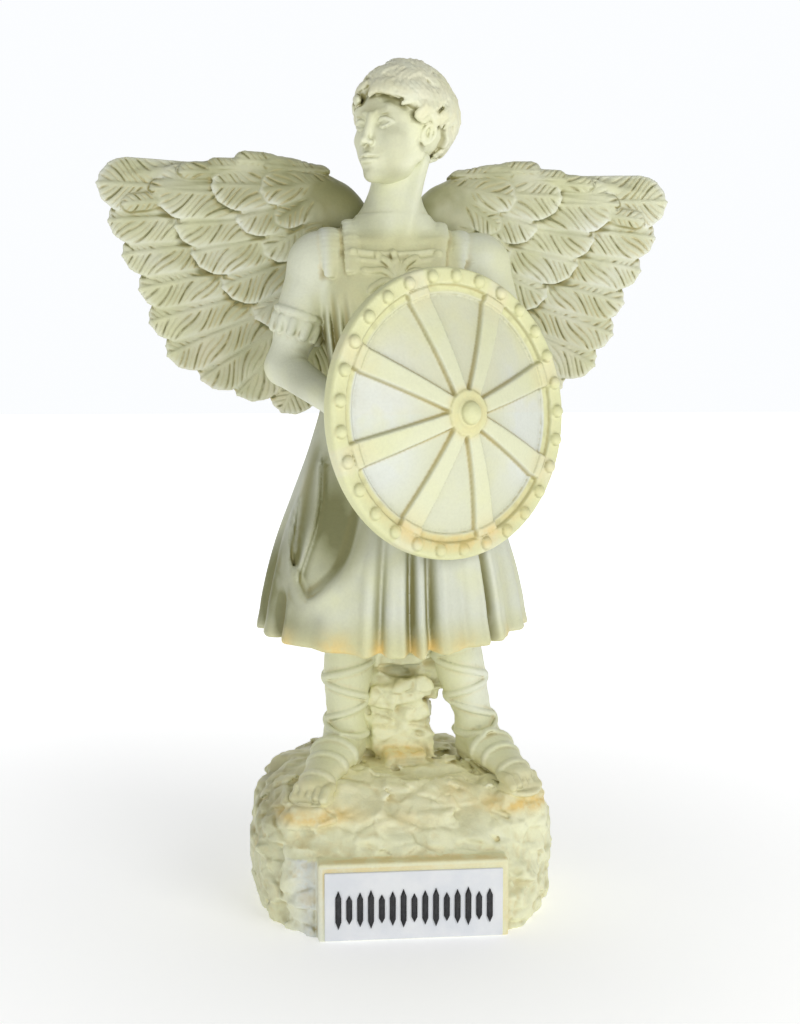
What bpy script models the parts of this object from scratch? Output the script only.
"""Cast resin statue of a winged youth with a round shield, on a rock base with a name plate.

Each sub-part is sculpted as a block of signed distance. The blocks are poured into one, as the
real figure is cast in one pour, and its surface is thinned to facets.
Carving is written in figure units: the statue is FIGURE_UNITS of them tall, and its heights
start from SEAT above the underside. Names such as left and right are the viewer's.
"""

import math

import bpy
import numpy as np
from mathutils import Matrix, Vector

# Sizes in metres
HEIGHT = 0.216
BASE_WIDTH = 0.078
BASE_DEPTH = 0.065
SHIELD_DIAMETER = 0.0712
SHIELD_RIM = 0.0042
PLATE_WIDTH = 0.0438
PLATE_HEIGHT = 0.0172
PLATE_THICKNESS = 0.0014
PLATE_GAP = 0.0003
STROKE_RELIEF = 0.0003
SCULPT_CELL = 0.0006

# Counts
RIVETS = 29
SPOKES = 8
STROKES = 15

# Triangles the casting is thinned to, before the panel and the underside are cut
FACETS = 9400

FIGURE_UNITS = 216.0
UNIT = HEIGHT / FIGURE_UNITS
SEAT = 2.5
FAR = 1000.0

CREAM = (0.80, 0.77, 0.60)
PLATE_WHITE = (0.86, 0.87, 0.88)


def remove_objects():
    for item in list(bpy.data.objects):
        bpy.data.objects.remove(item, do_unlink=True)


def material(name, colour, roughness):
    made = bpy.data.materials.new(name)
    made.use_nodes = True
    shader = made.node_tree.nodes["Principled BSDF"]
    shader.inputs["Base Color"].default_value = (*colour, 1.0)
    shader.inputs["Roughness"].default_value = roughness
    shader.inputs["Metallic"].default_value = 0.0
    return made


# Sculpting with signed distances

def soft_min(first, second, blend):
    if blend <= 0:
        return np.minimum(first, second)
    near = np.maximum(blend - np.abs(first - second), 0) / blend
    return np.minimum(first, second) - near * near * blend * 0.25


def smooth_step(low, high, value):
    share = np.clip((value - low) / (high - low), 0, 1)
    return share * share * (3 - 2 * share)


def through(value, knots, heights):
    """A smooth curve through the points (knots, heights), read at value."""
    knots = np.asarray(knots, np.float32)
    heights = np.asarray(heights, np.float32)
    slopes = np.gradient(heights, knots)
    inside = np.clip(value, knots[0], knots[-1])
    index = np.clip(np.searchsorted(knots, inside) - 1, 0, len(knots) - 2)
    width = knots[index + 1] - knots[index]
    t = (inside - knots[index]) / width
    return (
        heights[index] * (1 + 2 * t) * (1 - t) ** 2
        + heights[index + 1] * t * t * (3 - 2 * t)
        + slopes[index] * width * t * (1 - t) ** 2
        - slopes[index + 1] * width * t * t * (1 - t)
    )


class Clay:
    """A block of signed distances on a grid, in figure units: below zero is solid."""

    def __init__(self, low, high, cell):
        self.cell = cell
        self.axes = [np.arange(a, b + cell, cell, dtype=np.float32) for a, b in zip(low, high)]
        self.field = np.full([len(a) for a in self.axes], FAR, np.float32)

    def window(self, low, high):
        cuts = tuple(
            slice(int(np.searchsorted(axis, a)), int(np.searchsorted(axis, b)))
            for axis, a, b in zip(self.axes, low, high)
        )
        x, y, z = (axis[cut] for axis, cut in zip(self.axes, cuts))
        return cuts, x[:, None, None], y[None, :, None], z[None, None, :]

    def reach(self, shape, blend):
        function, low, high = shape
        margin = blend + 2 * self.cell
        return function, [a - margin for a in low], [b + margin for b in high]

    def add(self, shape, blend=0.0):
        function, low, high = self.reach(shape, blend)
        cuts, x, y, z = self.window(low, high)
        if self.field[cuts].size:
            self.field[cuts] = soft_min(self.field[cuts], function(x, y, z), blend)

    def cut(self, shape, blend=0.0):
        function, low, high = self.reach(shape, blend)
        cuts, x, y, z = self.window(low, high)
        if self.field[cuts].size:
            self.field[cuts] = -soft_min(-self.field[cuts], function(x, y, z), blend)

    def pour(self, other, place, blend=0.0, unbend=None):
        """Adds another block of clay, set in this one by the matrix place."""
        ends = [(float(axis[0]), float(axis[-1])) for axis in other.axes]
        corners = [Vector([ends[i][pick[i]] for i in range(3)]) for pick in np.ndindex(2, 2, 2)]
        placed = np.array([place @ corner for corner in corners])
        reach = 8 if unbend else 0
        cuts, x, y, z = self.window(placed.min(axis=0) - reach, placed.max(axis=0) + reach * 4)
        points = np.stack(np.broadcast_arrays(x, y, z), axis=-1).reshape(-1, 3)
        back = place.inverted()
        points = points @ np.array(back.to_3x3()).T + np.array(back.translation)
        if unbend is not None:
            points = unbend(points)
        values = other.sample(points)
        low = [axis[0] for axis in other.axes]
        high = [axis[-1] for axis in other.axes]
        inside = np.all((points > low) & (points < high), axis=1)
        values = np.where(inside, values, FAR).reshape(self.field[cuts].shape)
        self.field[cuts] = soft_min(self.field[cuts], values, blend)

    def shift(self, function, low, high):
        """Moves the surface outwards by function(x, y, z) within a box."""
        cuts, x, y, z = self.window(low, high)
        self.field[cuts] -= function(x, y, z)

    def surface(self):
        """Points and four-sided faces where the field crosses zero, one point for each crossed cell."""
        solid = self.field < 0
        solid[[0, -1]] = False
        solid[:, [0, -1]] = False
        solid[:, :, [0, -1]] = False
        for _ in range(6):
            if not self.fill_pinches(solid):
                break
        field = np.where(solid, np.minimum(self.field, -1e-4), np.maximum(self.field, 1e-4))
        shape = np.array(field.shape) - 1
        sums, quads = [], []
        for axis in range(3):
            near = [slice(None)] * 3
            far = [slice(None)] * 3
            near[axis], far[axis] = slice(None, -1), slice(1, None)
            crossed = np.argwhere(solid[tuple(near)] != solid[tuple(far)])
            step = np.zeros(3, np.int64)
            step[axis] = 1
            first = field[tuple(crossed.T)]
            second = field[tuple((crossed + step).T)]
            points = crossed.astype(np.float64)
            points[:, axis] += first / (first - second)
            side, up = (axis + 1) % 3, (axis + 2) % 3
            around = []
            for a, b in ((-1, -1), (0, -1), (0, 0), (-1, 0)):
                cell = crossed.copy()
                cell[:, side] += a
                cell[:, up] += b
                key = np.ravel_multi_index(tuple(cell.T), tuple(shape))
                around.append(key)
                sums.append((key, points))
            quad = np.stack(around, axis=1)
            outward = first < 0
            quad[~outward] = quad[~outward][:, ::-1]
            quads.append(quad)
        keys = np.concatenate([key for key, _ in sums])
        points = np.concatenate([point for _, point in sums])
        unique, index = np.unique(keys, return_inverse=True)
        count = np.bincount(index)
        middle = np.stack([np.bincount(index, points[:, i]) / count for i in range(3)], axis=1)
        low = np.array([axis[0] for axis in self.axes], np.float64)
        faces = np.searchsorted(unique, np.concatenate(quads))
        return middle * self.cell + low, faces

    @staticmethod
    def fill_pinches(solid):
        """Fills squares of the grid whose solid corners only meet across a diagonal."""
        found = False
        for axis in range(3):
            flat = np.moveaxis(solid, axis, 0)
            a, b = flat[:, :-1, :-1], flat[:, 1:, 1:]
            c, d = flat[:, 1:, :-1], flat[:, :-1, 1:]
            pinched = np.argwhere((a == b) & (c == d) & (a != c))
            found = found or len(pinched) > 0
            for i, j in ((0, 0), (0, 1), (1, 0), (1, 1)):
                flat[pinched[:, 0], pinched[:, 1] + i, pinched[:, 2] + j] = True
        return found

    def close_gaps(self):
        """Fills gaps narrower than two cells, which facets can't hold: the clay swells, then shrinks."""
        for pick in (np.minimum, np.maximum):
            for axis in range(3):
                old = np.moveaxis(self.field.copy(), axis, 0)
                field = np.moveaxis(self.field, axis, 0)
                field[1:] = pick(field[1:], old[:-1])
                field[:-1] = pick(field[:-1], old[1:])

    def sample(self, points):
        """The field at points, read between grid points."""
        low = np.array([axis[0] for axis in self.axes])
        scaled = (np.asarray(points) - low) / self.cell
        first = np.clip(scaled.astype(int), 0, np.array(self.field.shape) - 2)
        share = np.clip(scaled - first, 0, 1)
        total = 0
        for corner in np.ndindex(2, 2, 2):
            weight = np.prod(np.where(corner, share, 1 - share), axis=1)
            total = total + weight * self.field[tuple((first + corner).T)]
        return total

    def land(self, starts, ends, lift=0.0, count=90):
        """Where the lines from starts to ends first meet the clay, moved back by lift."""
        starts, ends = np.asarray(starts, float), np.asarray(ends, float)
        shares = np.linspace(0, 1, count)
        places = starts[:, None] + shares[None, :, None] * (ends - starts)[:, None]
        values = self.sample(places.reshape(-1, 3)).reshape(len(starts), count)
        values[:, -1] = -1
        hit = np.maximum(np.argmax(values < 0, axis=1), 1)
        rows = np.arange(len(starts))
        before, after = values[rows, hit - 1], values[rows, hit]
        share = shares[hit - 1] + (shares[1] - shares[0]) * before / (before - after)
        away = (starts - ends) / np.linalg.norm(starts - ends, axis=1)[:, None]
        return starts + share[:, None] * (ends - starts) + lift * away

    def mesh(self, name):
        """The clay's surface as an object in metres."""
        points, faces = self.surface()
        points = (points + (0, 0, SEAT)) * UNIT
        return mesh_object(name, points.tolist(), faces.tolist())


def mesh_object(name, points, faces):
    made = bpy.data.meshes.new(name)
    made.from_pydata(points, [], faces)
    made.update()
    body = bpy.data.objects.new(name, made)
    bpy.context.scene.collection.objects.link(body)
    return body


# Shapes, each a function of x, y and z with its lowest and highest corner

def ball(centre, radii, turn=None):
    centre = np.asarray(centre, np.float32)
    radii = np.broadcast_to(np.asarray(radii, np.float32), 3)
    matrix = np.eye(3) if turn is None else np.array(turn)
    reach = np.abs(matrix) @ radii

    def distance(x, y, z):
        x, y, z = x - centre[0], y - centre[1], z - centre[2]
        if turn is not None:
            x, y, z = (matrix[0, i] * x + matrix[1, i] * y + matrix[2, i] * z for i in range(3))
        first = np.sqrt((x / radii[0]) ** 2 + (y / radii[1]) ** 2 + (z / radii[2]) ** 2)
        slope = np.sqrt((x / radii[0] ** 2) ** 2 + (y / radii[1] ** 2) ** 2 + (z / radii[2] ** 2) ** 2)
        return first * (first - 1) / np.maximum(slope, 1e-6)

    return distance, centre - reach, centre + reach


def limb(start, end, first, last, wide=None, factor=1.0):
    """A round rod from start to end whose radius goes from first to last, wider by factor along wide."""
    start, end = np.asarray(start, np.float32), np.asarray(end, np.float32)
    along = end - start
    square = float(along @ along)
    most = max(first, last) * max(factor, 1.0)

    def distance(x, y, z):
        x, y, z = x - start[0], y - start[1], z - start[2]
        share = np.clip((x * along[0] + y * along[1] + z * along[2]) / square, 0, 1)
        x, y, z = x - share * along[0], y - share * along[1], z - share * along[2]
        if wide is not None:
            part = (x * wide[0] + y * wide[1] + z * wide[2]) * (1 - 1 / factor)
            x, y, z = x - part * wide[0], y - part * wide[1], z - part * wide[2]
        return np.sqrt(x * x + y * y + z * z) - (first + share * (last - first))

    return distance, np.minimum(start, end) - most, np.maximum(start, end) + most


def block(centre, half, rounding, turn=None):
    """A box with rounded edges."""
    centre, half = np.asarray(centre, np.float32), np.asarray(half, np.float32)
    matrix = np.eye(3) if turn is None else np.array(turn)
    reach = np.abs(matrix) @ half

    def distance(x, y, z):
        x, y, z = x - centre[0], y - centre[1], z - centre[2]
        if turn is not None:
            x, y, z = (matrix[0, i] * x + matrix[1, i] * y + matrix[2, i] * z for i in range(3))
        x, y, z = (np.abs(v) - h + rounding for v, h in zip((x, y, z), half))
        outside = np.sqrt(np.maximum(x, 0) ** 2 + np.maximum(y, 0) ** 2 + np.maximum(z, 0) ** 2)
        return outside + np.minimum(np.maximum(np.maximum(x, y), z), 0) - rounding

    return distance, centre - reach, centre + reach


def turned(x=0, y=0, z=0):
    """A rotation in degrees, as a 3 by 3 matrix: about X first, then Y, then Z."""
    angles = [math.radians(a) for a in (x, y, z)]
    spin = [Matrix.Rotation(a, 3, axis) for a, axis in zip(angles, "XYZ")]
    return spin[2] @ spin[1] @ spin[0]


def smooth_path(points, count):
    """A Catmull-Rom curve through points, as count points."""
    points = np.asarray(points, np.float64)
    padded = np.vstack([2 * points[0] - points[1], points, 2 * points[-1] - points[-2]])
    places = np.linspace(0, len(points) - 1, count)
    index = np.minimum(places.astype(int), len(points) - 2)
    t = (places - index)[:, None]
    a, b, c, d = (padded[index + i] for i in range(4))
    return 0.5 * (2 * b + (c - a) * t + (2 * a - 5 * b + 4 * c - d) * t**2 + (3 * b - a - 3 * c + d) * t**3)


def add_tube(clay, points, radii, blend=0.0, wide=None, factor=1.0):
    """Rods end to end along points, with a radius at each."""
    for i in range(len(points) - 1):
        clay.add(limb(points[i], points[i + 1], radii[i], radii[i + 1], wide, factor), blend)


# Base

ROCK_POWER = 2.5
LIP = 2.2
SHOULDER = 10.0
ROCK_RELIEF = 1.0


def base_half():
    return BASE_WIDTH / UNIT / 2, BASE_DEPTH / UNIT / 2


def base_wall(x, y, z):
    """Distance from the rock's upright side, which tucks in below at left and right."""
    half_width, half_depth = base_half()
    tuck = 1 - 0.10 * np.clip(1 - (z + SEAT) / 14, 0, 1) ** 2 * np.clip(np.abs(x) / half_width, 0, 1) ** 2
    share = np.abs(x / (half_width * tuck)) ** ROCK_POWER + np.abs(y / half_depth) ** ROCK_POWER
    return (share ** (1 / ROCK_POWER) - 1) * half_depth


def base_top(x, y):
    """Height of the rock's top: a plateau under the feet that drops steeply to the plate."""
    half_width, half_depth = base_half()
    drop = smooth_step(-0.45, -0.96, y / half_depth)
    crest = 33.8 - 1.6 * x / half_width + 1.6 * smooth_step(0.1, 0.8, y / half_depth)
    crest = crest - 5.0 * np.clip(np.abs(x) / half_width, 0, 1) ** 3
    return crest - 1.5 * smooth_step(0.1, -0.5, y / half_depth) - 13.0 * drop


def mound(x, y, z):
    """The rock's smooth form: an upright side and a top that meet in a wide round shoulder."""
    side = base_wall(x, y, z) + SHOULDER
    top = (z - base_top(x, y)) * 0.85 + SHOULDER
    outside = np.sqrt(np.maximum(side, 0) ** 2 + np.maximum(top, 0) ** 2)
    return outside + np.minimum(np.maximum(side, top), 0) - SHOULDER


def chipped(clay, box, count, seed, relief, soft):
    """Breaks the surface inside a box into tilted facets, wider than high, that meet over soft mm."""
    chance = np.random.RandomState(seed)
    cuts, x, y, z = clay.window(*box)
    block = clay.field[cuts]
    near = np.abs(block) < relief * 2 + 2 * clay.cell
    x, y, z = (np.broadcast_to(v, block.shape)[near].astype(np.float32) for v in (x, y, z))
    low, high = np.array(box[0]), np.array(box[1])
    first = np.full(len(x), FAR, np.float32)
    second = first.copy()
    offset = np.zeros(len(x), np.float32)
    for _ in range(count):
        seat = low + (high - low) * chance.uniform(0, 1, 3)
        tilt = chance.normal(0, 0.14, 3)
        rise = chance.uniform(-0.5, 0.5) * relief
        dx, dy, dz = x - seat[0], y - seat[1], z - seat[2]
        away = np.sqrt((0.7 * dx + 0.15 * dz) ** 2 + (0.85 * dy) ** 2 + (1.3 * dz) ** 2)
        nearer = away < first
        second = np.where(nearer, first, np.minimum(second, away))
        offset = np.where(nearer, rise + tilt[0] * dx + tilt[1] * dy + tilt[2] * dz, offset)
        first = np.where(nearer, away, first)
    offset = np.clip(offset, -relief, relief) * smooth_step(-0.2 * soft, soft, second - first)
    block[near] -= offset


def add_base(clay):
    half_width, half_depth = base_half()
    clay.add((mound, (-half_width, -half_depth, -SEAT - 2), (half_width, half_depth, 40)))
    add_slabs(clay)
    for leg in LEG_SIDES:
        toes = np.array(leg["toes"])
        clay.add(limb(toes + (0, 1.0, -8.6), toes * (1, 1, 0) + (0, 1, 6), 5.6, 7.5), 2.0)
        for drop, thick, wide in ((4.6, 1.3, 1.1), (7.4, 1.7, 2.2)):
            clay.add(foot_slab(leg, drop, thick, wide), 0.9)
    low, high = (-half_width - 2, -half_depth - 2, -SEAT - 2), (half_width + 2, half_depth + 2, 42)
    chipped(clay, (low, high), 300, 7, 0.9, 2.6)
    chipped(clay, (low, high), 1500, 8, 0.45, 1.3)
    limit_base(clay)


def add_slabs(clay):
    """The larger named rocks: beside the plate, under the feet and between them."""
    half_width, half_depth = base_half()
    slabs = (
        # place as shares of the half width and half depth, height, half sizes, turn
        ((-0.67, -0.69), 6.6, (4.8, 5.0, 12.0), (0, 0, -24)),
        ((0.70, -0.67), 7.6, (5.8, 5.4, 12.5), (3, 4, 28)),
        ((-0.80, -0.34), 16.0, (5.5, 6.5, 8.5), (14, -16, -20)),
        ((0.82, -0.30), 19.0, (5.0, 7.5, 7.5), (10, 14, 16)),
        ((-0.10, -0.52), 22.0, (6.4, 5.4, 6.4), (30, 5, 10)),
        ((0.22, -0.50), 22.6, (5.2, 5.4, 6.4), (34, -9, -14)),
        ((-0.30, -0.62), 17.4, (5.0, 4.4, 5.6), (28, 8, 22)),
        ((0.46, -0.62), 17.0, (5.4, 4.4, 6.0), (30, -4, -12)),
        ((0.00, -0.30), 27.0, (6.4, 5.6, 4.8), (16, -5, 12)),
        ((0.34, -0.34), 26.5, (4.2, 5.4, 5.0), (20, 12, -16)),
        ((0.10, 0.60), 24.0, (14.0, 9.0, 9.0), (-14, 2, 6)),
        ((-0.50, 0.42), 25.5, (9.0, 9.5, 8.0), (-8, -10, 18)),
        ((0.52, 0.44), 22.5, (9.0, 9.5, 8.0), (-8, 10, -18)),
    )
    for share, height, half, turn in slabs:
        centre = (share[0] * half_width, share[1] * half_depth, height)
        clay.add(block(centre, half, 1.2, turned(*turn)), 1.5)


def limit_base(clay):
    """Trims what stands out of the mound by more than ROCK_RELIEF, or a little more under the toes."""

    def outside(x, y, z):
        allowed = ROCK_RELIEF
        for leg in LEG_SIDES:
            toes = leg["toes"]
            away = np.sqrt((x - toes[0]) ** 2 + (y - toes[1] + 1) ** 2 + (z - toes[2] + 4) ** 2)
            allowed = allowed + 3.4 * smooth_step(15.0, 5.0, away)
        return allowed - mound(x, y, z)

    reach = [edge + 12 for edge in base_half()]
    clay.cut((outside, (-reach[0], -reach[1], -SEAT - 4), (reach[0], reach[1], 50)), 0.6)


def add_plate_panel(clay):
    """The flat upright panel of rock that frames the name plate, with a lip above it."""
    front = -BASE_DEPTH / UNIT / 2
    half_width = PLATE_WIDTH / UNIT / 2
    top = PLATE_HEIGHT / UNIT - SEAT + LIP
    low = -SEAT - 3
    clay.add(block((0, front + 7.6, (top + low) / 2), (half_width + 1.6, 8.0, (top - low) / 2), 0.9), 0.8)


def add_stump(clay):
    """The broken pillar of rock behind the shins."""
    blocks = (
        ((0.4, 6.8, 36.0), (8.0, 6.4, 7.0), (2, -1, 4)),
        ((0.6, 7.0, 44.0), (7.7, 6.2, 5.6), (-2, 2, -5)),
        ((1.4, 7.4, 55.0), (8.2, 6.0, 6.6), (3, -6, 7)),
        ((1.0, 7.4, 67.0), (8.6, 6.6, 7.0), (-2, 4, -6)),
        ((-3.4, 2.0, 60.4), (4.4, 2.6, 2.6), (10, 12, 16)),
        ((3.4, 1.8, 52.6), (4.4, 2.8, 3.0), (-6, -14, 10)),
        ((-3.8, 2.0, 50.6), (3.6, 2.8, 3.6), (4, 10, -12)),
        ((1.0, -0.6, 33.6), (5.4, 3.6, 3.2), (10, 2, 8)),
        ((10.6, 6.0, 64.0), (4.6, 4.4, 12.0), (0, 10, 0)),
        ((-9.4, 6.0, 50.0), (4.4, 4.0, 22.0), (0, -2, 0)),
    )
    for centre, sizes, turn in blocks:
        clay.add(block(centre, sizes, 1.2, turned(*turn)), 1.2)
    clay.cut(ball((0.2, -0.6, 56.8), (4.0, 4.0, 1.7), turned(y=14)), 0.8)
    low, high = (-13, -5, 34), (15, 16, 74)
    chipped(clay, (low, high), 70, 21, 0.8, 1.4)
    chipped(clay, (low, high), 300, 22, 0.35, 0.9)


def foot_frame(leg):
    """A foot's directions: forward, across and up, along its slope."""
    heel, toes = np.array(leg["heel"]), np.array(leg["toes"])
    forward = (toes - heel) / np.linalg.norm(toes - heel)
    across = np.cross(forward, (0, 0, 1))
    across /= np.linalg.norm(across)
    return forward, across, np.cross(across, forward)


def foot_slab(leg, drop, thick, wide):
    """A level piece under a foot, of the sole's outline, drop below its middle line and wide beyond it."""
    heel, toes = np.array(leg["heel"]), np.array(leg["toes"])
    forward, across, up = foot_frame(leg)
    start, end = heel - up * drop, toes + forward * 0.4 - up * drop
    length = np.linalg.norm(end - start)

    def distance(x, y, z):
        x, y, z = x - start[0], y - start[1], z - start[2]
        along = x * forward[0] + y * forward[1] + z * forward[2]
        side = x * across[0] + y * across[1] + z * across[2]
        rise = x * up[0] + y * up[1] + z * up[2]
        share = np.clip(along / length, 0, 1)
        outline = np.sqrt((along - share * length) ** 2 + side**2) - (4.0 + 1.9 * share + wide)
        return -soft_min(-outline, -(np.abs(rise) - thick), 0.8)

    reach = 7.5 + wide + thick
    return distance, np.minimum(start, end) - reach, np.maximum(start, end) + reach


# Legs and feet

LEG_SIDES = (
    # The path runs down the leg's middle, from the hip to the ankle
    {
        "path": (
            (-11.5, 1.5, 84.0),
            (-12.6, 1.0, 68.0),
            (-13.6, 1.6, 57.0),
            (-14.2, 2.0, 46.0),
            (-14.2, 2.2, 41.0),
        ),
        "heel": (-13.2, 4.6, 37.0),
        "instep": (-17.6, -6.0, 37.4),
        "toes": (-23.6, -17.6, 32.0),
    },
    {
        "path": (
            (12.0, 1.5, 84.0),
            (14.2, 1.0, 68.0),
            (16.4, 1.6, 57.0),
            (19.6, 2.0, 46.0),
            (20.6, 2.2, 41.0),
        ),
        "heel": (20.0, 4.6, 37.0),
        "instep": (23.4, -5.0, 37.8),
        "toes": (28.6, -15.6, 33.2),
    },
)
LACE_TOP = 55.8
LACE_STEP = 5.6
LEG_RADII = (7.4, 6.3, 6.2, 4.7, 4.5)


def add_leg(clay, leg):
    path = smooth_path(leg["path"], 13)
    radii = np.interp(np.linspace(0, 4, 13), range(5), LEG_RADII)
    add_tube(clay, path, radii, 0.6)
    clay.add(ball(np.array(leg["path"][2]) + (0, 2.0, 3.0), (4.6, 4.8, 8.0)), 3.0)
    add_foot(clay, leg)


def add_foot(clay, leg):
    heel, instep, toes = (np.array(leg[part]) for part in ("heel", "instep", "toes"))
    ankle = np.array(leg["path"][4])
    forward, across, up = foot_frame(leg)
    clay.add(limb(heel, heel + (0, 0, 4), 4.0, 4.0), 1.5)
    clay.add(limb(ankle, instep, 4.6, 4.2, across, 1.15), 3.0)
    clay.add(limb(instep, toes, 3.9, 2.5, across, 1.6), 2.0)
    clay.add(limb(heel - up * 0.6, toes - up * 0.6, 3.2, 2.3, across, 1.5), 1.5)
    for index in range(5):
        inner = index if leg["toes"][0] > 0 else 4 - index
        long = 5.0 - 0.62 * inner
        thick = 1.5 - 0.13 * inner
        root = toes - across * (index - 2) * 2.1 - up * 0.3 - forward * 0.6
        knuckle = root + forward * long * 0.55 + up * 0.35
        tip = root + forward * long - up * 0.75
        clay.add(limb(root, knuckle, thick, thick * 0.95), 0.12)
        clay.add(limb(knuckle, tip, thick * 0.95, thick * 0.85), 0.1)


def add_sole(clay, leg):
    """The sandal's sole, of the foot's outline."""
    clay.add(foot_slab(leg, 2.9, 0.75, 0.1), 0.2)


def add_laces(clay, leg, relief=0.85):
    """Two bands that cross at the sides of the shin, and the straps over the foot."""
    path = smooth_path(leg["path"], 200)
    count = 70
    heights = np.linspace(66, 39.5, count)
    order = np.argsort(path[:, 2])
    centres = np.stack([np.interp(heights, path[order, 2], path[order, i]) for i in range(3)], axis=1)
    levels = [place[2] for place in leg["path"]][::-1]
    radii = np.interp(heights, levels, LEG_RADII[::-1]) + 0.15
    start = math.pi if leg["toes"][0] < 0 else 0
    for way in (1, -1):
        angles = start + way * math.pi * (LACE_TOP - heights) / LACE_STEP
        points = centres + np.stack([np.cos(angles) * radii, np.sin(angles) * radii, 0 * radii], axis=1)
        add_tube(clay, points, np.full(count, relief), 0.1, (0, 0, 1), 1.1)
    instep, toes = (np.array(leg[part]) for part in ("instep", "toes"))
    forward, across, up = foot_frame(leg)
    for share, wide, high in ((0.02, 5.0, 4.8), (0.36, 5.5, 4.2), (0.84, 6.1, 2.9)):
        centre = instep + (toes - instep) * share - up * 0.4
        arch = np.linspace(-0.1, 1.1, 16) * math.pi
        points = centre + np.outer(np.cos(arch) * wide, across) + np.outer(np.sin(arch) * high, up)
        points = clay.land(points + (points - centre) * 0.6, np.repeat([centre], 16, axis=0), 0.1)
        add_tube(clay, points, np.full(16, relief * 0.9), 0.1, forward, 1.6)


# Tunic

SKIRT_MIDDLE = (-2.1, 1.0)
SKIRT_HEM = 67.6
SKIRT_TOP = 126.0
SKIRT_LEVELS = (62.0, 68.0, 74.0, 82.0, 92.0, 104.0, 115.0, 126.0)
SKIRT_WIDTHS = (34.2, 34.2, 34.0, 32.6, 30.0, 25.8, 21.8, 18.4)
SKIRT_DEPTHS = (25.4, 25.4, 25.0, 24.0, 22.4, 19.2, 16.0, 13.2)

SKIRT_FOLDS = (
    # angle round the skirt with the front at -90, spread in degrees, depth at the hem
    (-168, 3.6, 1.5),
    (-150, 3.0, 1.8),
    (-130, 4.5, 0.5),
    (-114, 5.0, 0.5),
    (-99.5, 2.5, 2.0),
    (-86, 1.9, 2.2),
    (-77, 2.6, 2.5),
    (-61, 3.0, 0.7),
    (-47, 2.0, 2.0),
    (-31, 4.0, 0.9),
    (-12, 4.2, 1.5),
    (10, 4.6, 1.8),
    (32, 4.2, 1.7),
    (54, 4.8, 1.9),
    (76, 4.2, 1.6),
    (97, 5.0, 1.9),
    (119, 4.4, 1.7),
    (141, 4.8, 1.9),
    (163, 4.2, 1.6),
)


def skirt_folds(angle, height):
    """How far the cloth stands out round the skirt: grooves with a raised lip at each side."""
    degrees = np.degrees(angle)
    rise = smooth_step(118, 72, height)
    total = 0
    for place, spread, depth in SKIRT_FOLDS:
        off = (degrees - place - 2.5 * (1 - rise) + 180) % 360 - 180
        off = off / (spread * (1.25 - 0.25 * rise))
        total = total + depth * (0.42 * np.exp(-((np.abs(off) - 2.1) ** 2)) - np.exp(-(off**2)))
    return total * rise


SWAG_EDGE = (
    (-24.4, 118),
    (-27.2, 106),
    (-29.4, 95),
    (-29.2, 86),
    (-25.4, 78.5),
    (-18.6, 83),
    (-14.4, 89),
    (-11.8, 97),
    (-9, 108),
)
SWAG_INNER = ((-26.8, 84.5), (-24.6, 91), (-22.6, 97), (-21.4, 103), (-20.8, 112))


def from_line(x, z, line):
    """Distance from a line of points in the XZ plane, and which side: positive is to its left."""
    best = FAR
    side = 0
    for (ax, az), (bx, bz) in zip(line[:-1], line[1:]):
        dx, dz = bx - ax, bz - az
        share = np.clip(((x - ax) * dx + (z - az) * dz) / (dx * dx + dz * dz), 0, 1)
        off = np.sqrt((x - ax - share * dx) ** 2 + (z - az - share * dz) ** 2)
        turn = dx * (z - az) - dz * (x - ax)
        side = np.where(off < best, np.sign(turn), side)
        best = np.minimum(off, best)
    return best, side


def swag(x, z):
    """Relief of the looped fold on the skirt's front left: a raised edge round a hollow."""
    edge = [tuple(p) for p in smooth_path(SWAG_EDGE, 25)]
    inner = [tuple(p) for p in smooth_path(SWAG_INNER, 9)]
    off, side = from_line(x, z, edge)
    inside = off * side
    ridge = np.exp(-((off / np.where(inside > 0, 1.1, 2.6)) ** 2))
    hollow = smooth_step(0.5, 3.2, inside)
    fold, fold_side = from_line(x, z, inner)
    step = smooth_step(-0.8, 0.8, fold * fold_side) * smooth_step(4.5, 0.0, fold)
    return smooth_step(122, 112, z) * (1.1 * ridge - 1.9 * hollow + 1.5 * step * hollow)


def add_skirt(clay):
    def distance(x, y, z):
        width = through(z, SKIRT_LEVELS, SKIRT_WIDTHS)
        depth = through(z, SKIRT_LEVELS, SKIRT_DEPTHS)
        dx, dy = x - SKIRT_MIDDLE[0], y - SKIRT_MIDDLE[1]
        angle = np.arctan2(dy / depth, dx / width)
        bed = swag(x, z) * smooth_step(-2, -9, y)
        calm = 1 - 0.8 * smooth_step(0.05, 0.5, np.abs(bed))
        folds = skirt_folds(angle, z)
        out = folds * calm + bed + 1.0 * smooth_step(75, 67, z)
        rho = np.sqrt((dx / width) ** 2 + (dy / depth) ** 2)
        slope = np.sqrt((dx / width**2) ** 2 + (dy / depth**2) ** 2)
        wall = rho * (rho - 1) / np.maximum(slope, 1e-6) - out
        dip = smooth_step(4, -16, y) * np.clip(1 - ((x + 4) / 36) ** 2, 0, 1)
        hem = SKIRT_HEM + 2.4 - 4.2 * dip - 0.35 * skirt_folds(angle, np.float32(70))
        inner = wall + 3.4
        hollow = -soft_min(-inner, -(z - hem - 6.0), 1.5)
        shell = -soft_min(-wall, -(hem - z), 0.9)
        shell = -soft_min(-shell, hollow, 0.8)
        return np.maximum(shell, z - SKIRT_TOP)

    clay.add((distance, (-41, -33, 62), (41, 33, SKIRT_TOP)), 1.0)


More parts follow.
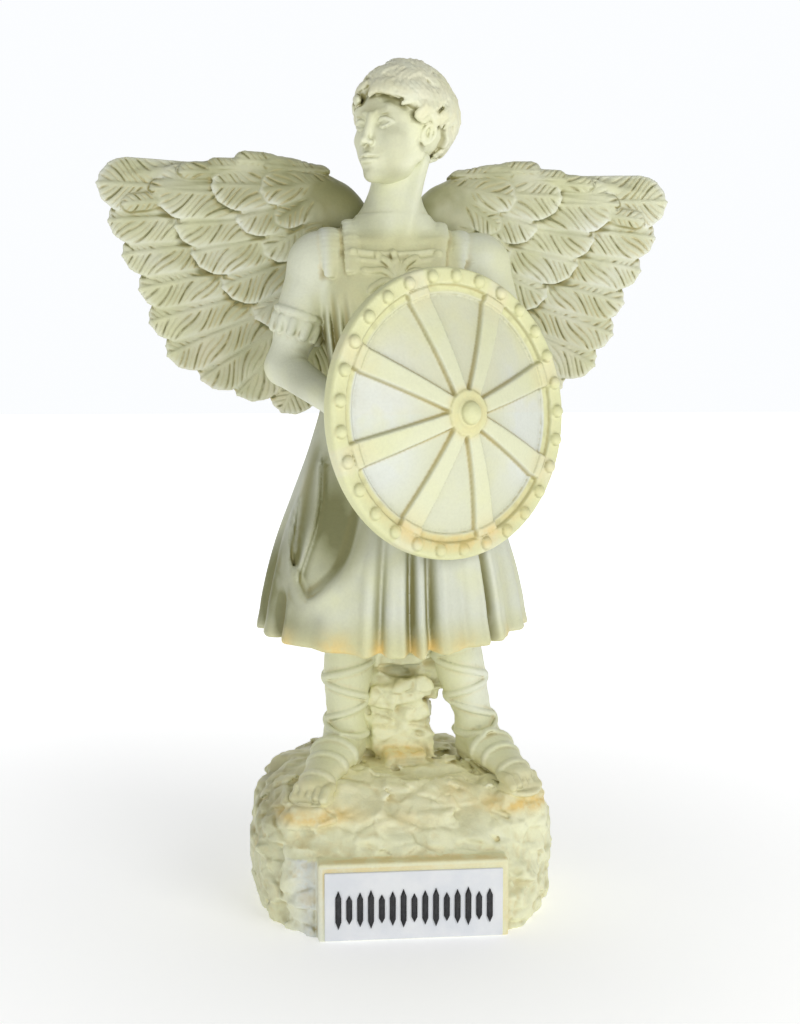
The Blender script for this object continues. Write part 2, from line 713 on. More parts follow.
TORSO_MIDDLE = (-1.4, 1.2)
TORSO_LEVELS = (120.0, 127.0, 134.0, 142.0, 150.0, 158.0, 164.0, 168.0, 171.5)
TORSO_WIDTHS = (18.6, 17.2, 16.8, 17.6, 19.0, 19.8, 19.4, 17.0, 11.5)
TORSO_DEPTHS = (13.2, 12.2, 12.0, 12.6, 13.4, 13.0, 11.4, 9.4, 7.0)


def torso(x, y, z):
    width = through(z, TORSO_LEVELS, TORSO_WIDTHS)
    depth = through(z, TORSO_LEVELS, TORSO_DEPTHS)
    dx, dy = x - TORSO_MIDDLE[0], y - TORSO_MIDDLE[1]
    rho = (np.abs(dx / width) ** 2.2 + np.abs(dy / depth) ** 2.2) ** (1 / 2.2)
    return np.maximum((rho - 1) * depth, np.maximum(118 - z, z - 173.5) * 0.7)


def torso_creases(x, y, z):
    """Upright folds at the flanks and a few under the chest, fading towards the back."""
    front = smooth_step(9, 2, y)
    flank = np.exp(-(((np.abs(x - TORSO_MIDDLE[0]) - 15.5) / 3.0) ** 2))
    wave = np.cos((x + 0.12 * (z - 140)) * 2.1)
    height = smooth_step(158, 146, z) * smooth_step(124, 130, z)
    return (0.3 + 0.25 * front) * (0.25 + flank) * wave * height


def add_torso(clay):
    clay.add((torso, (-23, -14, 118), (21, 16, 173)), 2.0)
    for side in (-1, 1):
        middle = TORSO_MIDDLE[0]
        clay.add(limb((middle + side * 6, 2.0, 169.6), (middle + side * 19.5, 2.2, 163.6), 5.4, 6.6), 3.0)
        clay.add(ball((middle + side * 7.6, -8.0, 153.5), (6.8, 4.8, 6.2)), 4.0)
    clay.shift(torso_creases, (-21, -14, 124), (19, 16, 158))
    for height, bulge in ((127.2, 1.1), (124.0, 1.3)):
        add_tube(clay, belt_ring(clay, height), np.full(49, bulge), 0.5, (0, 0, 1), 1.5)


def belt_ring(clay, height):
    """A ring round the waist, lying on the cloth."""
    angles = np.linspace(0, 2 * math.pi, 49)
    out = np.stack([np.cos(angles), np.sin(angles), 0 * angles], axis=1)
    middle = np.array([*TORSO_MIDDLE, height])
    return clay.land(middle + out * 26, middle, -0.2)


def drape(clay, points, lift=0.0):
    """Points (x, z) laid on the front of the figure."""
    starts = np.array([(x, -30.0, z) for x, z in points])
    ends = np.array([(x, 2.0, z) for x, z in points])
    return clay.land(starts, ends, lift)


FRONT_MIDDLE = -2.4


def add_neckline(clay):
    """The raised double edge of the tunic across the chest."""
    share = np.linspace(-1, 1, 15)
    for drop, thick in ((0.0, 0.9), (2.0, 0.55)):
        points = [(FRONT_MIDDLE + 10.5 * s, 166.4 - drop - 0.8 * (1 - s * s)) for s in share]
        add_tube(clay, drape(clay, points), np.full(15, thick), 0.4, (0, 0, 1), 1.3)


STRAPS = (
    # shift from the front's middle at the chest and on the shoulder, half width, foot
    (-10.2, -11.4, 2.2, 162.0),
    (-15.0, -17.0, 2.5, 160.0),
    (10.6, 11.4, 2.1, 161.6),
    (15.4, 16.6, 2.3, 159.6),
)


def strap_path(clay, strap, lift):
    low, high, foot = strap[0], strap[1], strap[3]
    count = 21
    angles = np.linspace(-20, 205, count)
    share = np.clip((angles + 20) / 70, 0, 1)
    x = FRONT_MIDDLE * (1 - share) - 1.2 * share + low + (high - low) * share
    radians = np.radians(angles)
    centre = np.stack([x, np.full(count, 2.0), np.full(count, foot + 3.0)], axis=1)
    out = np.stack([0 * x, -np.cos(radians), np.sin(radians)], axis=1)
    return clay.land(centre + out * 26, centre, lift)


def add_straps(clay):
    """Two flat straps over each shoulder, front to back, with a stud at the end of the inner one."""
    paths = [strap_path(clay, strap, -0.1) for strap in STRAPS]
    for index, (strap, path) in enumerate(zip(STRAPS, paths)):
        add_tube(clay, path, np.full(len(path), 0.85), 0.2, (1, 0, 0), strap[2] / 0.85)
        if index % 2 == 0:
            clay.add(ball(path[2] + (0, -0.7, 0), (1.2, 0.9, 1.2)), 0.15)


PALMETTE = (
    ((0.8, -1.0), (0.3, 2.0), (-0.4, 4.6)),
    ((0.2, -1.4), (-1.6, 1.6), (-3.6, 3.0), (-4.2, 4.0)),
    ((1.4, -1.4), (2.6, 1.2), (4.4, 2.6), (5.6, 2.9)),
    ((0.0, -2.2), (-3.0, -0.4), (-6.0, -0.6), (-7.8, -0.2)),
    ((1.8, -2.2), (4.6, -0.6), (7.4, -0.8), (9.0, -0.4)),
    ((0.0, -3.2), (-2.6, -3.0), (-5.0, -4.2), (-6.4, -5.4)),
    ((1.8, -3.2), (4.4, -3.0), (6.6, -4.2), (8.0, -5.4)),
    ((1.0, -3.0), (1.2, -6.0), (1.2, -9.0)),
)


def add_palmette(clay):
    """The leaf ornament at the middle of the neckline."""
    paths = []
    for leaf in PALMETTE:
        flat = smooth_path([(FRONT_MIDDLE + x, 161.0 + z) for x, z in leaf], 9)
        paths.append(drape(clay, flat, -0.1))
    for path in paths:
        add_tube(clay, path, (0.55, 0.8, 0.95, 1.0, 1.0, 0.95, 0.95, 1.0, 0.8), 0.15)


# Arms

ARMS = (
    {
        "shoulder": (-20.6, 2.2, 163.0),
        "elbow": (-29.6, 2.0, 137.0),
        "wrist": (-17.5, -14.5, 128.0),
        "hand": (-11.0, -18.5, 126.5),
    },
    {
        "shoulder": (21.0, 2.2, 163.0),
        "elbow": (28.5, 1.0, 138.0),
        "wrist": (19.5, -10.0, 130.0),
        "hand": (13.5, -14.0, 128.0),
    },
)
CUFF_AT = 0.56


def add_arm(clay, arm):
    shoulder, elbow, wrist, hand = (np.array(arm[part]) for part in ("shoulder", "elbow", "wrist", "hand"))
    cuff = shoulder + (elbow - shoulder) * CUFF_AT
    side = math.copysign(1, shoulder[0])
    clay.add(ball(shoulder + (side * -0.5, 0, 0.3), (7.6, 7.4, 7.6)), 3.0)
    clay.add(limb(shoulder, cuff, 7.4, 6.6), 2.0)
    clay.add(limb(cuff, elbow, 5.2, 4.9), 0.8)
    clay.add(limb(elbow, wrist, 5.0, 3.6), 1.2)
    clay.add(limb(wrist, hand, 3.4, 3.2), 1.5)
    down = (elbow - shoulder) / np.linalg.norm(elbow - shoulder)
    add_cuff(clay, cuff, down)
    add_hand(clay, wrist, hand)


def around(centre, axis, radius, count):
    """A closed ring of points round an axis."""
    axis = Vector(axis).normalized()
    first = axis.orthogonal().normalized()
    second = axis.cross(first)
    angles = np.linspace(0, 2 * math.pi, count + 1)
    ring = np.outer(np.cos(angles) * radius, first) + np.outer(np.sin(angles) * radius, second)
    return np.asarray(centre) + ring


def add_cuff(clay, centre, down):
    """The sleeve's gathered end: a band, a puckered roll and the edge."""
    add_tube(clay, around(centre - down * 1.6, down, 6.4, 24), np.full(25, 1.0), 0.25)
    clay.add(limb(centre - down * 1.2, centre + down * 3.6, 6.2, 5.7), 0.5)
    for index, point in enumerate(around(centre + down * 1.9, down, 5.9, 11)[:-1]):
        swell = 1.35 + 0.25 * (index % 2)
        clay.add(limb(point - down * 1.3, point + down * 1.5, swell, swell * 0.85), 0.35)


def add_hand(clay, wrist, hand):
    """A closed fist round the shield's grip."""
    reach = (hand - wrist) / np.linalg.norm(hand - wrist)
    up = np.array([0.0, 0.0, 1.0])
    clay.add(ball(hand, (4.0, 3.4, 4.2)), 2.0)
    for index in range(4):
        knuckle = hand + reach * 3.0 + up * (3.0 - 2.0 * index)
        clay.add(limb(knuckle, knuckle - reach * 1.0 + np.array([0, -2.6, 0]), 1.25, 1.15), 0.3)
    clay.add(limb(hand + up * 3.2, hand + up * 4.2 + reach * 2.4 + np.array([0, -1.6, 0]), 1.4, 1.1), 0.5)


# Shield

SHIELD_CENTRE = (9.8, -24.0, 125.5)
SHIELD_YAW = 30.0
SHIELD_PITCH = 3.0
SHIELD_DOME = 6.6
SHIELD_WALL = 3.2


def shield_place():
    turn = turned(x=-SHIELD_PITCH, z=SHIELD_YAW).to_4x4()
    turn.translation = Vector(SHIELD_CENTRE)
    return turn


def spoke_cover(x, z, soft):
    """1 on the shield's straps and 0 between them; each strap widens from the hub to the rim."""
    cover = 0
    for index in range(SPOKES):
        angle = math.radians(18 + 360 / SPOKES * index)
        along = x * math.cos(angle) + z * math.sin(angle)
        across = -x * math.sin(angle) + z * math.cos(angle)
        half = 1.55 + 1.65 * np.clip(along * UNIT / SHIELD_DIAMETER * 2.3, 0, 1)
        strap = smooth_step(half + soft, half - soft, np.abs(across)) * smooth_step(0, 3, along)
        cover = np.maximum(cover, strap)
    return cover


def shield_clay(cell):
    radius = SHIELD_DIAMETER / UNIT / 2
    rim = SHIELD_RIM / UNIT
    panel = radius - rim - 1.4

    def face(x, z):
        """How far the front stands out of the rim's plane."""
        r = np.sqrt(x * x + z * z)
        dome = SHIELD_DOME * np.clip(1 - (r / panel) ** 1.7, 0, 1)
        step = 0.75 * smooth_step(panel - 1.0, panel - 0.5, r) - 0.4
        edge = 0.95 * smooth_step(radius - rim - 0.25, radius - rim + 0.25, r)
        spokes = spoke_cover(x, z, 0.25) * smooth_step(radius - rim + 0.2, radius - rim - 0.4, r)
        hub = 1.7 * smooth_step(5.9, 5.4, r)
        top = dome + step + edge + np.maximum(1.35 * spokes, hub)
        return np.where(r < 5.6, np.maximum(top, SHIELD_DOME + 1.0), top)

    def distance(x, y, z):
        r = np.sqrt(x * x + z * z)
        front = -(y + face(x, z))
        back = y + SHIELD_DOME * 0.85 * np.clip(1 - (r / panel) ** 2, 0, 1) - SHIELD_WALL + 0.8
        body = -soft_min(-front * 0.9, -back, 0.6)
        return -soft_min(-body, -(r - radius), 1.0)

    low, high = (-radius - 2, -SHIELD_DOME - 6, -radius - 2), (radius + 2, SHIELD_WALL + 12, radius + 2)
    clay = Clay(low, high, cell)
    clay.add((distance, (-radius, -SHIELD_DOME - 3, -radius), (radius, SHIELD_WALL, radius)))
    clay.add(ball((0, -SHIELD_DOME - 1.2, 0), (2.9, 2.2, 2.9)), 0.3)
    for index in range(RIVETS):
        angle = 2 * math.pi * index / RIVETS
        place = radius - rim * 0.54
        clay.add(ball((place * math.cos(angle), -1.0, place * math.sin(angle)), (1.7, 1.5, 1.7)), 0.1)
    return clay


def add_shield_grip(clay):
    """The lug behind the shield that joins it to both hands and the chest."""
    place = shield_place()
    middle = np.array(place @ Vector((0, 0.5, 0)))
    for arm in ARMS:
        grip = np.array(arm["hand"]) + (0, -1.0, 0)
        clay.add(limb(grip, middle + (arm["hand"][0] * 0.35 - 3, 0, 0), 3.4, 4.0), 1.5)
    clay.add(limb((8.0, -8.0, 126.0), middle + (0, 1.0, 0), 5.5, 5.0), 1.5)


# Head

HEAD_YAW = -48.0
HEAD_PITCH = 4.0
HEAD_PLACE = (-1.2, -1.0, 181.6)
SKULL_CENTRE = np.array([0.0, 2.6, 18.4])
SKULL_RADII = np.array([9.9, 12.4, 10.9])


def head_place():
    """Head frame to figure frame. In the head's own frame the face looks along -Y, with the chin at 0."""
    turn = turned(x=-HEAD_PITCH, z=HEAD_YAW).to_4x4()
    turn.translation = Vector(HEAD_PLACE)
    return turn


def add_head(clay):
    clay.add(ball(SKULL_CENTRE, SKULL_RADII))
    clay.add(ball((0, -3.4, 13.8), (7.7, 7.6, 9.6)), 4.0)
    clay.add(ball((0, -4.0, 7.4), (5.1, 6.5, 6.4)), 3.0)
    clay.add(ball((0, -8.7, 2.6), (2.0, 2.1, 2.2)), 2.2)
    clay.add(ball((0, 0.5, 5.2), (4.8, 6.6, 4.0)), 3.0)
    for side in (-1, 1):
        clay.add(limb((side * 6.3, 1.2, 8.4), (side * 2.0, -7.4, 2.7), 1.5, 1.2), 2.2)
        clay.add(ball((side * 5.0, -7.2, 11.5), (2.6, 2.1, 2.0)), 2.5)
        clay.add(limb((side * 2.0, -10.2, 17.7), (side * 5.2, -9.4, 18.2), 0.8, 0.8), 1.8)
        clay.add(limb((side * 5.2, -9.4, 18.2), (side * 7.6, -6.6, 16.9), 0.8, 0.7), 1.8)
        clay.cut(ball((side * 3.9, -11.6, 15.0), (2.9, 2.7, 2.1)), 1.0)
        clay.add(ball((side * 3.8, -7.7, 14.8), (2.3, 2.2, 2.1)), 0.1)
        add_eyelids(clay, side)
    add_nose(clay)
    add_mouth(clay)
    for side in (-1, 1):
        add_ear(clay, side)


def add_eyelids(clay, side):
    """Upper and lower lid, rods over the eyeball's front, and the crease above the heavier upper one."""
    for rise, thick in ((1.2, 0.55), (-0.95, 0.38)):
        points = []
        for share in np.linspace(-1, 1, 11):
            across = 2.3 * share
            lift = rise * (1 - share * share) + 0.15 * share
            front = math.sqrt(max(2.4**2 - across**2 - lift**2, 0.2))
            points.append((side * (3.8 + across), -7.7 - front * 0.97, 14.8 + lift))
        add_tube(clay, points, np.full(11, thick), 0.1)
    clay.cut(limb((side * 2.0, -10.5, 16.5), (side * 5.2, -9.7, 16.7), 0.3, 0.3), 0.15)


def add_nose(clay):
    clay.add(limb((0, -10.2, 16.8), (0, -12.2, 10.9), 0.75, 0.9), 1.2)
    clay.add(ball((0, -12.4, 10.3), (1.05, 1.15, 0.95)), 0.6)
    for side in (-1, 1):
        clay.add(ball((side * 1.3, -11.3, 9.9), (0.75, 1.1, 0.75)), 0.4)
        clay.cut(ball((side * 0.7, -11.9, 9.15), (0.3, 0.45, 0.3)), 0.2)


def add_mouth(clay):
    """Closed lips: an upper lip with a dip in its middle, and a fuller lower one."""
    clay.add(ball((0, -9.2, 6.3), (3.6, 1.9, 2.7)), 1.5)
    for side in (-1, 1):
        clay.add(limb((side * 0.5, -11.25, 6.95), (side * 2.9, -10.0, 6.5), 0.55, 0.3), 0.25)
        clay.cut(limb((0, -11.75, 6.36), (side * 3.1, -10.1, 6.36), 0.3, 0.24), 0.12)
    clay.add(limb((-1.3, -10.95, 5.65), (1.3, -10.95, 5.65), 0.72, 0.72), 0.35)
    clay.cut(limb((-2.6, -10.6, 6.36), (2.6, -10.6, 6.36), 0.26, 0.26), 0.1)
    clay.cut(ball((0, -11.7, 4.2), (2.2, 0.9, 0.7)), 0.9)


EAR_RIM = (
    (8.5, -0.6, 11.6),
    (9.2, -0.9, 13.6),
    (10.0, 0.2, 15.4),
    (10.4, 1.8, 15.2),
    (10.2, 2.4, 13.2),
    (9.3, 1.0, 11.0),
)


def add_ear(clay, side):
    path = smooth_path([(side * x, y, z) for x, y, z in EAR_RIM], 17)
    clay.add(ball((side * 8.9, 0.8, 13.3), (1.0, 1.9, 2.6)), 0.5)
    add_tube(clay, path, np.full(17, 0.55), 0.2)
    clay.add(ball((side * 9.4, 0.2, 10.7), (0.8, 1.0, 1.1)), 0.4)
    clay.cut(ball((side * 10.6, 0.5, 13.3), (1.5, 0.9, 1.4)), 0.3)
    clay.add(limb((side * 9.7, 1.5, 14.4), (side * 9.5, 1.0, 12.0), 0.35, 0.35), 0.2)


NECK = (
    # across, front to back, height, radius
    (-1.6, 2.6, 164.0, 8.2),
    (-1.6, 2.4, 171.0, 6.7),
    (-1.4, 2.0, 177.0, 6.0),
    (-0.8, 2.0, 186.0, 6.0),
)


def add_neck(clay):
    """The neck, its two front muscles and the slope to the shoulders, in the figure's frame."""
    add_tube(clay, [place[:3] for place in NECK], [place[3] for place in NECK], 3.0)
    place = head_place()
    for side in (-1, 1):
        ear = np.array(place @ Vector((side * 5.4, 4.0, 8.0)))
        clay.add(limb((-1.6 + side * 2.4, -4.6, 169.0), ear, 1.0, 1.7), 2.6)
        clay.add(limb((-1.6 + side * 3.0, 3.4, 176.0), (-1.6 + side * 13.5, 2.8, 168.6), 3.6, 3.8), 5.0)
        clay.add(limb((-1.8 + side * 2.2, -6.6, 168.4), (-1.6 + side * 11.0, -4.6, 169.6), 0.9, 0.8), 1.8)


# The hairline's polar angle from the crown, by angle from the face's middle, in degrees
HAIRLINE_TURN = (0, 25, 45, 60, 74, 90, 104, 118, 145, 180)
HAIRLINE_DROP = (72, 74, 83, 95, 106, 103, 106, 126, 136, 140)


def hairline(turn):
    return float(through(np.float32(abs(turn)), HAIRLINE_TURN, HAIRLINE_DROP))


def on_skull(turn, drop, lift):
    """A point lift above the skull: turn from the face's middle, drop from the crown, in degrees."""
    a, b = math.radians(turn), math.radians(drop)
    low = max(drop - 90, 0) / 50
    radii = SKULL_RADII + lift
    direction = np.array([math.sin(a) * math.sin(b), -math.cos(a) * math.sin(b), math.cos(b)])
    return SKULL_CENTRE + direction * radii * (1 - 0.12 * low * np.array([1, 1, 0]))


def hair_cap(x, y, z):
    """The hair's mass above the hairline: wavy locks with fine strands, combed from the crown."""
    dx, dy, dz = (v - c for v, c in zip((x, y, z), SKULL_CENTRE))
    shell = np.sqrt((dx / SKULL_RADII[0]) ** 2 + (dy / SKULL_RADII[1]) ** 2 + (dz / SKULL_RADII[2]) ** 2)
    side = np.arctan2(dx / SKULL_RADII[0], -dy / SKULL_RADII[1])
    turn = np.degrees(side)
    round_axis = np.sqrt((dx / SKULL_RADII[0]) ** 2 + (dy / SKULL_RADII[1]) ** 2)
    drop = np.degrees(np.arctan2(round_axis, dz / SKULL_RADII[2]))
    wave = 0.22 * np.sin(drop / 8.5 + 2 * np.sin(3 * side)) + 0.10 * np.sin(drop / 4.6 + 5 * side)
    swept = side + wave + 0.5 * np.sin(side) * smooth_step(10, 70, drop)
    away = smooth_step(6, 26, drop)
    fine = smooth_step(20, 50, drop)
    lock = 1 - 1.5 * np.abs(np.sin(6 * swept + 0.8 * np.sin(drop / 16)))
    lock = lock * (1 - fine) + fine * (1 - 1.5 * np.abs(np.sin(10 * swept + 0.9 * np.sin(drop / 13))))
    strand = np.cos(30 * swept + 1.2 * np.sin(drop / 7)) * away
    curl = np.cos(drop / 6.5 + 2.5 * np.sin(4 * side))
    limit = through(np.abs(turn), HAIRLINE_TURN, HAIRLINE_DROP) + 3.0 * np.cos(11 * swept + 0.8)
    thick = 2.3 + 0.8 * smooth_step(60, 20, drop) + 0.62 * lock * away + 0.26 * strand + 0.22 * curl * away
    fall = smooth_step(limit + 1.5, limit - 7.5, drop)
    return np.maximum((shell - 1) * 11.0 - thick * fall + 0.5 * (1 - fall), (drop - limit - 3) * 0.19)


def hair_locks():
    """Curls that end the hair: where each starts and ends, its wave and its thickness."""
    chance = np.random.RandomState(11)
    rows = (
        # how many, start, end as a share of the hairline's drop, thickness, wave
        (15, 34, 0.80, 0.95, 9),
        (21, 52, 1.02, 0.95, 9),
        (20, 78, 1.06, 0.90, 7),
    )
    for row, (count, start, end, thick, wave) in enumerate(rows):
        for index in range(count):
            turn = -180 + 360 * (index + 0.5 * (row % 2)) / count + chance.uniform(-6, 6)
            first = start + chance.uniform(-5, 5)
            last = hairline(turn) * end + chance.uniform(-3, 4)
            if 80 < abs(turn) < 112:
                last = min(last, 104)
            phase = chance.uniform(0, 2 * math.pi)
            yield turn, first, last, thick * chance.uniform(0.85, 1.1), wave, phase


def add_lock(clay, lock, strands=3):
    turn, first, last, thick, wave, phase = lock
    if last - first < 10:
        return
    count = 9
    shares = np.linspace(0, 1, count)
    sweep = 26 * math.copysign(1, turn + 20)
    for strand in range(strands):
        aside = (strand - (strands - 1) / 2) * thick * 1.3
        points = []
        for share in shares:
            drop = first + (last - first) * share
            ring_size = max(math.sin(math.radians(drop)), 0.3)
            bend = wave * math.sin(phase + share * 4.6) + sweep * share * (1 - 0.6 * ring_size)
            offset = math.degrees(aside * (1 - 0.8 * share) / 11.0)
            lift = 1.2 + 1.1 * math.sin(math.pi * min(share * 1.1, 1))
            points.append(on_skull(turn + (bend + offset) / ring_size, drop, lift))
        radii = thick * np.interp(shares, (0, 0.3, 0.75, 1), (0.35, 1.0, 0.8, 0.25))
        add_tube(clay, points, radii, 0.35)


def add_hair(clay):
    reach = SKULL_RADII + 5
    clay.add((hair_cap, SKULL_CENTRE - reach, SKULL_CENTRE + reach), 0.3)
    for lock in hair_locks():
        add_lock(clay, lock)


# Wings, in a flat frame: x outwards, z up, y through the wing with its front at -y

WING_ROOT_DEPTH = 10.5

# Feathers, row by row from the back to the front: how far out and how high the tip is,
# the direction it points in, in degrees from outwards, and its length and width
PRIMARY_FEATHERS = (
    (76.0, 184.8, 3, 50, 15.0),
    (73.2, 175.0, -3, 50, 14.0),
    (69.6, 166.0, -8, 50, 13.5),
    (65.4, 157.0, -12, 50, 13.5),
    (62.8, 148.4, -16, 52, 14.0),
    (58.2, 139.8, -24, 50, 14.5),
    (49.4, 133.4, -34, 48, 14.5),
    (40.0, 129.4, -46, 46, 14.5),
    (28.4, 124.8, -62, 48, 14.0),
)
SECOND_FEATHERS = (
    (61.0, 182.8, 2, 34, 15.0),
    (55.8, 173.4, -6, 30, 13.0),
    (51.6, 166.4, -12, 32, 14.5),
    (43.6, 157.6, -22, 30, 14.5),
    (35.0, 149.6, -38, 26, 14.0),
    (24.0, 143.6, -58, 24, 13.0),
)
THIRD_FEATHERS = (
    (46.2, 184.0, 0, 26, 13.5),
    (39.8, 175.2, -14, 22, 12.5),
    (32.6, 166.4, -34, 20, 12.0),
    (23.0, 159.4, -60, 18, 11.0),
)
FOURTH_FEATHERS = (
    (33.6, 182.6, -8, 14, 9.5),
    (29.6, 174.4, -34, 13, 9.0),
    (21.0, 168.0, -60, 12, 9.0),
)


def feather(tip, angle, length, width, lift, tilt, crown, bow=0.0):
    """A feather whose tip points along angle, in degrees from outwards; tilt slopes it like a shingle."""
    cos, sin = math.cos(math.radians(angle)), math.sin(math.radians(angle))
    half = width / 2
    rounding = width * 0.55

    def distance(x, y, z):
        du, dv = x - tip[0], z - tip[1]
        along = length + du * cos + dv * sin
        back = np.clip(1 - along / length, 0, 1.2)
        across = -du * sin + dv * cos + bow * back**2
        breadth = half * (0.62 + 0.38 * smooth_step(0, 0.55, along / length))
        over = np.clip(along - (length - rounding), 0, None) / rounding
        under = np.clip(-along, 0, None) / half
        spread = (across / breadth) ** 2 + over**2 + under**2
        thick = crown * (1 - spread * spread) + 0.25 * crown * np.exp(-((across / 0.5) ** 2))
        return (np.abs(y - lift + tilt * across) - thick) * 0.8

    root = (tip[0] - length * cos, tip[1] - length * sin)
    reach = half + abs(bow) + 1
    low = (min(tip[0], root[0]) - reach, lift - crown - abs(tilt) * half - 1, min(tip[1], root[1]) - reach)
    high = (max(tip[0], root[0]) + reach, lift + crown + abs(tilt) * half + 1, max(tip[1], root[1]) + reach)
    return distance, low, high


def wing_layers():
    """Feathers of a wing: tip, angle, length, width, lift, tilt, crown and bow."""
    rows = (
        (PRIMARY_FEATHERS, 0.0, 1.25, 1.2),
        (SECOND_FEATHERS, -1.9, 1.1, 0.9),
        (THIRD_FEATHERS, -3.4, 1.0, 0.7),
        (FOURTH_FEATHERS, -4.6, 0.9, 0.5),
        (SECOND_FEATHERS, 1.9, 1.05, 0.9),
        (THIRD_FEATHERS, 3.2, 0.95, 0.7),
    )
    for feathers, lift, crown, bow in rows:
        tilt = 0.12 if lift > 0 else -0.12
        for out, up, angle, length, width in feathers:
            yield (out, up), angle, length, width, lift, tilt, crown, bow


WING_ARM = (
    # outwards, front to back, height, radius
    (2.0, 0.0, 160.0, 7.0),
    (8.0, -0.6, 170.5, 6.6),
    (15.0, -1.0, 179.0, 6.0),
    (25.0, -0.6, 186.0, 4.4),
    (40.0, 0.0, 188.4, 2.9),
    (55.0, 0.2, 187.6, 1.9),
    (69.0, 0.2, 186.4, 1.2),
)


def wing_clay(cell):
    clay = Clay((-4, -13, 114), (82, 13, 202), cell)
    for shape in wing_layers():
        clay.add(feather(*shape))
    arm = smooth_path([place[:3] for place in WING_ARM], 19)
    radii = np.interp(np.linspace(0, 6, 19), range(7), [place[3] for place in WING_ARM])
    add_tube(clay, arm, radii, 1.0)
    clay.add(ball((16.0, -0.5, 177.0), (9.0, 5.6, 8.5)), 1.5)
    clay.add(limb((2.0, 0.5, 166.0), (12.0, 0.0, 146.0), 6.0, 3.2), 2.0)
    for index in range(6):
        place = 24 + 7.4 * index
        tip = (place + 9, 189.6 - 0.012 * (place - 30) ** 2 + 0.9 * (index % 2))
        clay.add(feather(tip, 6 - 2.4 * index, 15.0, 5.6, -3.4 + 0.5 * index, 0.10, 1.4))
        clay.add(feather(tip, 6 - 2.4 * index, 15.0, 5.6, 3.0 - 0.4 * index, -0.10, 1.4))
    return clay


def wing_sweep(out, height):
    """How far back the wing stands: it sweeps back as it goes out, and is a little cupped."""
    cup = 2.5 * np.sin(np.clip(out, 0, 80) / 80 * math.pi * 1.5)
    return WING_ROOT_DEPTH + 0.14 * out + cup + 0.02 * (height - 178)


def wing_unbend(points):
    """From the bent wing's points to the flat wing's."""
    flat = points.copy()
    flat[:, 1] -= wing_sweep(points[:, 0], points[:, 2])
    return flat


WING_MIDDLE = -1.8
WING_DROOP = {-1: 0.0, 1: 2.6}


def wing_place(side):
    """Mirrors the wing to its side of the back and lets it droop about the shoulder."""
    flip = Matrix.Identity(4)
    flip[0][0] = side
    pivot = Matrix.Translation((WING_MIDDLE, 0, 168))
    droop = Matrix.Rotation(math.radians(side * WING_DROOP[side]), 4, "Y")
    return pivot @ droop @ Matrix.Translation((0, 0, -168)) @ flip


# The casting

def add_rock(clay):
    add_base(clay)
    add_plate_panel(clay)
    add_stump(clay)


def add_figure(clay):
    for leg in LEG_SIDES:
        add_leg(clay, leg)
        add_sole(clay, leg)
        add_laces(clay, leg)
    add_skirt(clay)
    add_torso(clay)
    add_neck(clay)
    add_neckline(clay)
    add_palmette(clay)
    for arm in ARMS:
        add_arm(clay, arm)
    add_straps(clay)
    add_shield_grip(clay)


def head_clay(cell):
    clay = Clay((-16, -17, -5), (16, 20, 36), cell)
    add_head(clay)
    add_hair(clay)
    return clay


def statue_clay(cell):
    clay = Clay((-86, -50, -SEAT - 3), (84, 44, 220), cell)
    add_rock(clay)
    add_figure(clay)
    clay.pour(head_clay(cell), head_place(), 0.8)
    clay.pour(shield_clay(cell), shield_place(), 0.3)
    wing = wing_clay(cell)
    for side in (-1, 1):
        clay.pour(wing, wing_place(side), 0.8, wing_unbend)
    clay.close_gaps()
    return clay


def thinned(body, facets):
    """Thins a mesh of four-sided faces to about so many triangles."""
    thin = body.modifiers.new("Facets", "DECIMATE")
    thin.ratio = facets / (2 * len(body.data.polygons))
    graph = bpy.context.evaluated_depsgraph_get()
    mesh = body.evaluated_get(graph).to_mesh()
    points = [v.co.copy() for v in mesh.vertices]
    faces = [list(p.vertices) for p in mesh.polygons]
    part_pinches(points, faces)
    faces = largest_shell(len(points), faces)
    used = sorted({corner for face in faces for corner in face})
    renumbered = {old: new for new, old in enumerate(used)}
    name = body.name
    bpy.data.objects.remove(body, do_unlink=True)
    kept = [[renumbered[corner] for corner in face] for face in faces]
    return mesh_object(name, [points[old] for old in used], kept)


def largest_shell(count, faces):
    """The faces of the largest closed surface: what is left out is the skin of sealed bubbles."""
    parent = list(range(count))

    def root(corner):
        while parent[corner] != corner:
            parent[corner] = parent[parent[corner]]
            corner = parent[corner]
        return corner

    for face in faces:
        for corner in face[1:]:
            parent[root(corner)] = root(face[0])
    shells = {}
    for face in faces:
        shells.setdefault(root(face[0]), []).append(face)
    return max(shells.values(), key=len)


def part_pinches(points, faces):
    """Gives each sheet of the surface its own point where two of them meet in a single one."""
    around = [[] for _ in points]
    for index, face in enumerate(faces):
        for corner in face:
            around[corner].append(index)
    for corner in range(len(around)):
        left = set(around[corner])
        first = True
        while left:
            fan = [left.pop()]
            for index in fan:
                ring = set(faces[index]) - {corner}
                near = [other for other in left if ring & set(faces[other])]
                left.difference_update(near)
                fan.extend(near)
            if not first:
                middle = sum((points[i] for index in fan for i in faces[index]), Vector()) / (3 * len(fan))
                points.append(points[corner].lerp(middle, 0.1))
                for index in fan:
                    faces[index] = [len(points) - 1 if i == corner else i for i in faces[index]]
            first = False


def as_guide(body):
    """Leaves an object out of the model: it only serves a Boolean."""
    body.hide_render = True
    body.display_type = "WIRE"
    return body


def box(name, low, high):
    corners = [(x, y, z) for x in (low[0], high[0]) for y in (low[1], high[1]) for z in (low[2], high[2])]
    sides = [(0, 1, 3, 2), (4, 6, 7, 5), (0, 4, 5, 1), (2, 3, 7, 6), (0, 2, 6, 4), (1, 5, 7, 3)]
    return mesh_object(name, corners, sides)


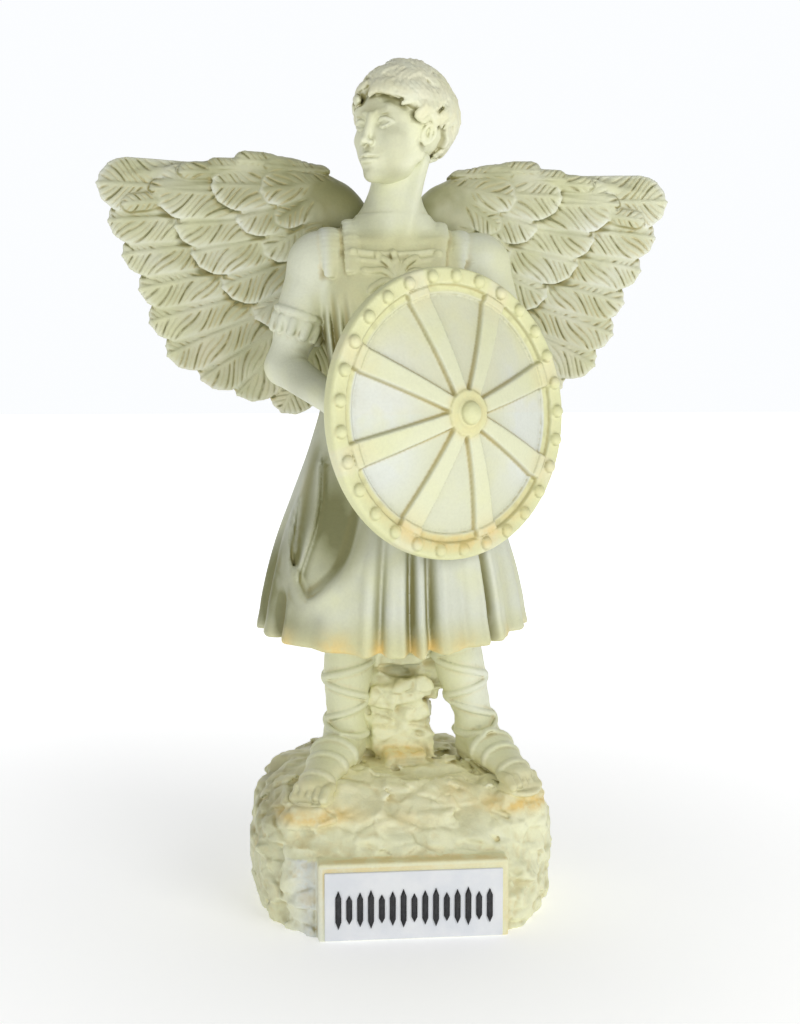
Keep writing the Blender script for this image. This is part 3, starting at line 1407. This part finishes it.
def boolean(body, operation, other):
    made = body.modifiers.new(other.name, "BOOLEAN")
    made.operation = operation
    made.object = other


def plate_front():
    """Where the plate's face is along Y: the rock's panel carries it, sunk by half its thickness."""
    return -BASE_DEPTH / 2 - 0.0004 * HEIGHT / 0.216 - PLATE_THICKNESS / 2


def make_casting():
    statue = thinned(statue_clay(SCULPT_CELL / UNIT).mesh("statue"), FACETS)
    span = BASE_WIDTH + BASE_DEPTH
    ground = box("below_ground", (-span, -span, -span), (span, span, 0))
    half = PLATE_WIDTH / 2 + PLATE_GAP
    back = plate_front() + PLATE_THICKNESS + PLATE_GAP
    pocket = box("plate_pocket", (-half, -span, -span), (half, back, PLATE_HEIGHT + PLATE_GAP))
    for tool in (ground, pocket):
        boolean(statue, "DIFFERENCE", as_guide(tool))
    statue.data.materials.append(material("cream_resin", CREAM, 0.55))
    return statue


def make_plate():
    """The name plate, with a row of slim raised strokes of two heights where a name would be."""
    half = PLATE_WIDTH / 2
    front = plate_front()
    plate = box("name_plate", (-half, front, PLATE_GAP), (half, front + PLATE_THICKNESS, PLATE_HEIGHT))
    points, faces = [], []
    pitch = PLATE_WIDTH * 0.91 / STROKES
    for index in range(STROKES):
        x = (index - (STROKES - 1) / 2) * pitch
        rise = PLATE_HEIGHT * (0.28, 0.21, 0.25)[index % 3]
        middle = PLATE_HEIGHT * 0.47
        add_stroke(points, faces, x, middle, pitch * 0.27, rise, front)
    strokes = mesh_object("strokes", points, faces)
    boolean(plate, "UNION", as_guide(strokes))
    plate.data.materials.append(material("plate_white", PLATE_WHITE, 0.45))
    return plate


def add_stroke(points, faces, x, z, half, rise, front):
    """A slim upright bar with pointed ends, standing STROKE_RELIEF proud of the plate."""
    belly = rise * 0.62
    outline = [(0, rise), (-half, belly), (-half, -belly), (0, -rise), (half, -belly), (half, belly)]
    first = len(points)
    count = len(outline)
    for y in (front - STROKE_RELIEF, front + STROKE_RELIEF):
        points += [(x + dx, y, z + dz) for dx, dz in outline]
    faces.append([first + i for i in range(count)])
    faces.append([first + count + i for i in reversed(range(count))])
    for i in range(count):
        after = (i + 1) % count
        faces.append([first + after, first + i, first + count + i, first + count + after])


def main():
    remove_objects()
    make_casting()
    make_plate()


main()
